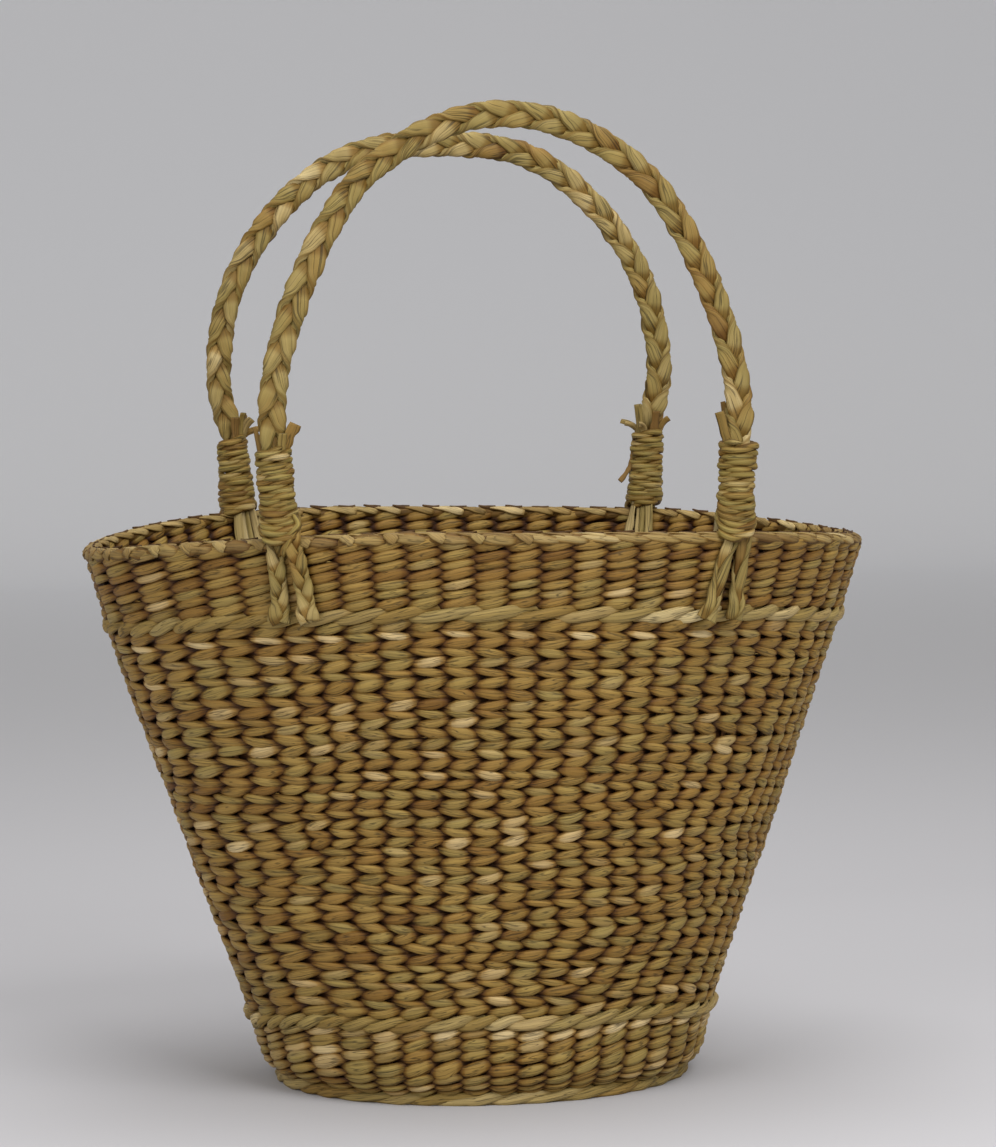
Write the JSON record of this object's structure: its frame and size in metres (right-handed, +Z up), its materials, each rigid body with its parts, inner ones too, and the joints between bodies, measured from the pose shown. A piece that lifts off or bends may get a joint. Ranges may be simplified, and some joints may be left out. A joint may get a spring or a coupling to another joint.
{
  "type": "basket",
  "caption": "Oval twined rush basket with flared sides, a raised foot, a folded border and two upright plaited loop handles bound at their ends.",
  "frame": {"origin": "on the floor under the middle of the foot", "axes": "+Z up, +X to the right, -Y towards the front handle"},
  "size_m": [0.3792, 0.2856, 0.463],
  "materials": {
    "weaver_rush": "dry twisted rush stems, matt, straw yellow to olive and brown",
    "wale_rush": "thicker twisted rush rows, matt with a faint sheen",
    "border_rush": "folded rush ends, creased, matt brown and straw",
    "stake_reed": "flat dark orange brown stems",
    "plait_rush": "flat bundles of pale rush, fine lengthwise fibres",
    "binding_cord": "two ply rush cord wound tightly"
  },
  "bodies": {
    "basket": {"stakes": "stake_reed", "base_weave": "weaver_rush", "inner_floor_weave": "weaver_rush", "inner_side_weave": "weaver_rush", "foot_wale": "wale_rush", "lower_band_weave": "weaver_rush", "lower_wale": "wale_rush", "side_weave": "weaver_rush", "upper_wale": "wale_rush", "upper_band_weave": "weaver_rush", "rim_border": "border_rush", "front_left_outer_leg_a": "plait_rush", "front_left_outer_leg_b": "plait_rush", "front_left_inner_leg_a": "plait_rush", "front_left_inner_leg_b": "plait_rush", "front_right_outer_leg_a": "plait_rush", "front_right_outer_leg_b": "plait_rush", "front_right_inner_leg_a": "plait_rush", "front_right_inner_leg_b": "plait_rush", "back_left_outer_leg_a": "plait_rush", "back_left_outer_leg_b": "plait_rush", "back_left_inner_leg_a": "plait_rush", "back_left_inner_leg_b": "plait_rush", "back_right_outer_leg_a": "plait_rush", "back_right_outer_leg_b": "plait_rush", "back_right_inner_leg_a": "plait_rush", "back_right_inner_leg_b": "plait_rush"},
    "front_handle": {"front_handle_strand_1": "plait_rush", "front_handle_strand_2": "plait_rush", "front_handle_strand_3": "plait_rush", "front_left_binding": "binding_cord", "front_left_leg_ends": "plait_rush", "front_right_binding": "binding_cord", "front_right_leg_ends": "plait_rush"},
    "back_handle": {"back_handle_strand_1": "plait_rush", "back_handle_strand_2": "plait_rush", "back_handle_strand_3": "plait_rush", "back_left_binding": "binding_cord", "back_left_leg_ends": "plait_rush", "back_right_binding": "binding_cord", "back_right_leg_ends": "plait_rush"}
  },
  "joints": [
    {"name": "front_handle_tip", "type": "hinge", "parent": "basket", "child": "front_handle", "pos_m": [0, -0.11453, 0.2717], "axis": [-1, 0, 0], "range_deg": [-40, 33.5], "stiffness_Nm_per_rad": 0.2},
    {"name": "back_handle_tip", "type": "hinge", "parent": "basket", "child": "back_handle", "pos_m": [0, 0.11453, 0.2717], "axis": [1, 0, 0], "range_deg": [-40, 33.5], "stiffness_Nm_per_rad": 0.2}
  ]
}
